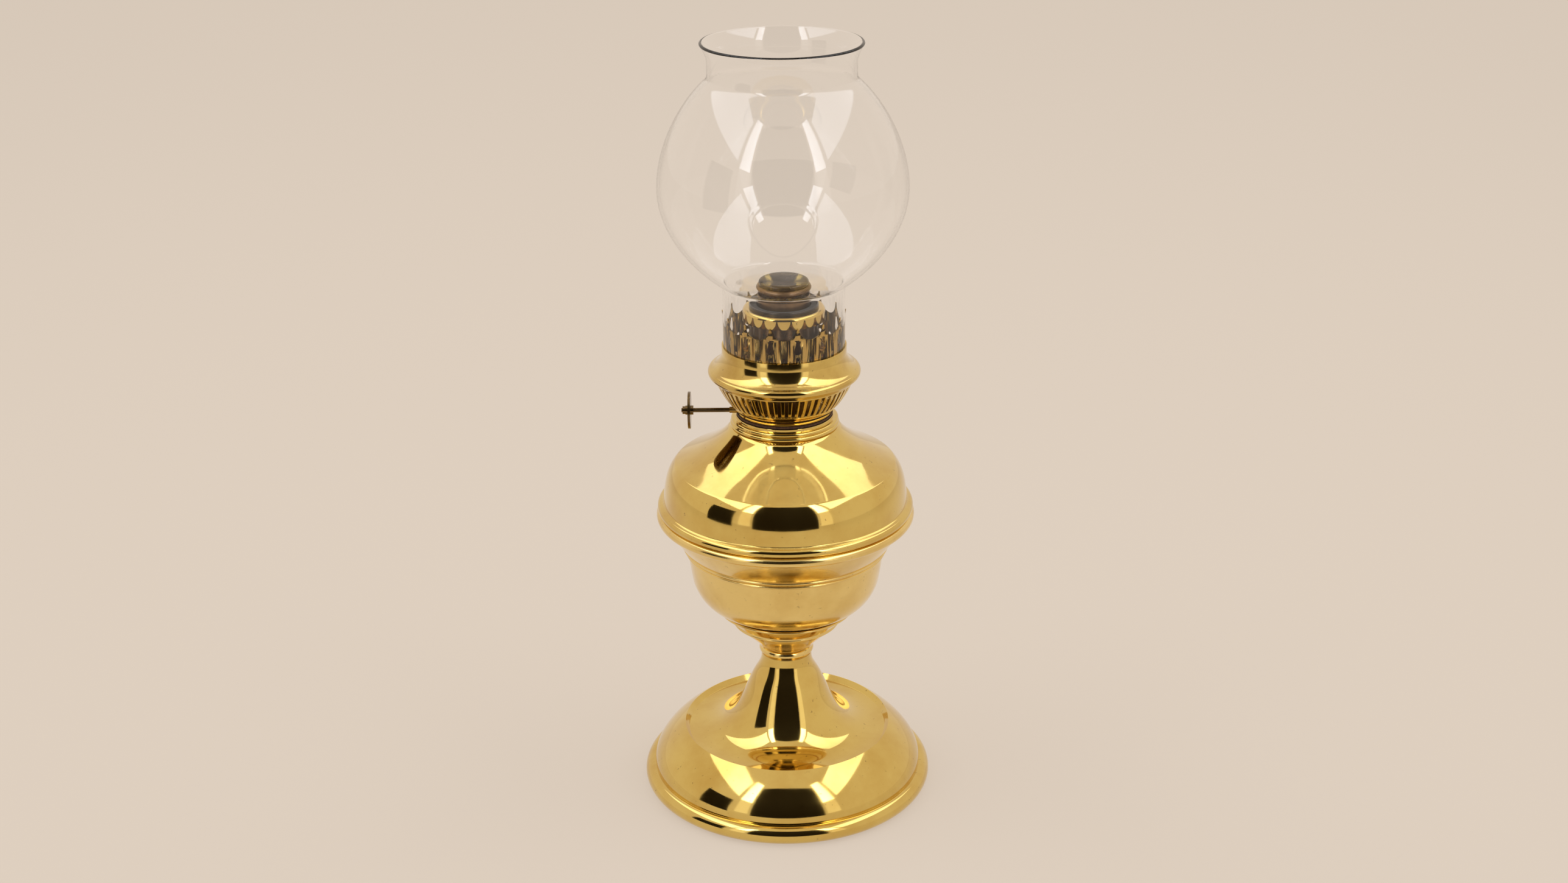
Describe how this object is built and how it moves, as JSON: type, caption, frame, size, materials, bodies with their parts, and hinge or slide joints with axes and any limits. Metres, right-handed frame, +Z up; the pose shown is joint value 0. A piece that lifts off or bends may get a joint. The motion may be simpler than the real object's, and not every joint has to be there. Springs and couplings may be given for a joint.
{
  "type": "kerosene lamp",
  "caption": "Brass table lamp for kerosene with a round wick, slotted burner, side winder, flame spreader and clear ball chimney.",
  "frame": {"origin": "under the middle of the foot, on the table", "axes": "+Z up along the lamp's axis, the winder points to -X, -Y is the front"},
  "size_m": [0.137, 0.137, 0.3573],
  "materials": {
    "polished_brass": "spun and polished, slightly tarnished",
    "burner_brass": "polished, with dark spots",
    "crown_brass": "pierced thin sheet, heat-stained",
    "dull_brass": "dull, unpolished",
    "dark_brass": "aged, brown",
    "stained_brass": "mottled by heat and soot",
    "burnt_brass": "blackened by the flame",
    "dark_rod": "aged brass wire",
    "steel": "plain steel",
    "leather": "oiled leather",
    "cotton": "woven cotton",
    "clear_glass": "clear blown glass"
  },
  "bodies": {
    "stand": {"foot": "polished_brass", "stem_collar": "polished_brass", "knop": "polished_brass", "bowl": "polished_brass", "font_dome": "polished_brass", "font_collar": "polished_brass", "tie_stud": "steel", "foot_washer": "steel", "foot_nut": "dull_brass"},
    "washer": {"gasket": "leather"},
    "burner": {"basket": "burner_brass", "burner_skirt": "dull_brass", "burner_floor": "dull_brass", "outer_tube": "stained_brass", "tube_shoulder": "burner_brass", "tube_tip": "burnt_brass", "inner_tube": "stained_brass", "spreader_socket": "dull_brass", "spindle_bush": "dull_brass", "gallery_ring": "burner_brass", "gallery_crown": "crown_brass"},
    "winder": {"spindle": "dark_rod", "spur_wheels": "steel", "winder_knob": "dark_brass", "knob_nut": "dark_brass"},
    "wick": {"wick": "cotton"},
    "spreader": {"spreader_cap": "burnt_brass", "spreader_ring": "stained_brass", "spreader_neck": "stained_brass", "spreader_stem": "steel"},
    "chimney": {"chimney": "clear_glass"}
  },
  "joints": [
    {"name": "burner_rise", "type": "slide", "parent": "stand", "child": "washer", "axis": [0, 0, 1], "range_m": [0, 0.0056]},
    {"name": "burner_turn", "type": "hinge", "parent": "washer", "child": "burner", "pos_m": [0, 0, 0.1888], "axis": [0, 0, 1], "range_deg": [0, 990]},
    {"name": "winder_turn", "type": "hinge", "parent": "burner", "child": "winder", "pos_m": [0, -0.005, 0.1905], "axis": [-1, 0, 0], "range_deg": [-80, 50]},
    {"name": "wick_slide", "type": "slide", "parent": "burner", "child": "wick", "axis": [0, 0, 1], "range_m": [-0.0081, 0.0051]},
    {"name": "spreader_lift", "type": "slide", "parent": "burner", "child": "spreader", "axis": [0, 0, 1], "range_m": [0, 0.032]},
    {"name": "chimney_lift", "type": "slide", "parent": "burner", "child": "chimney", "axis": [0, 0, 1], "range_m": [0, 0.045]}
  ],
  "couplings": [
    {"joint": "burner_rise", "follows": "burner_turn", "m_per_rad": 0.00031831},
    {"joint": "wick_slide", "follows": "winder_turn", "m_per_rad": 0.0057}
  ]
}
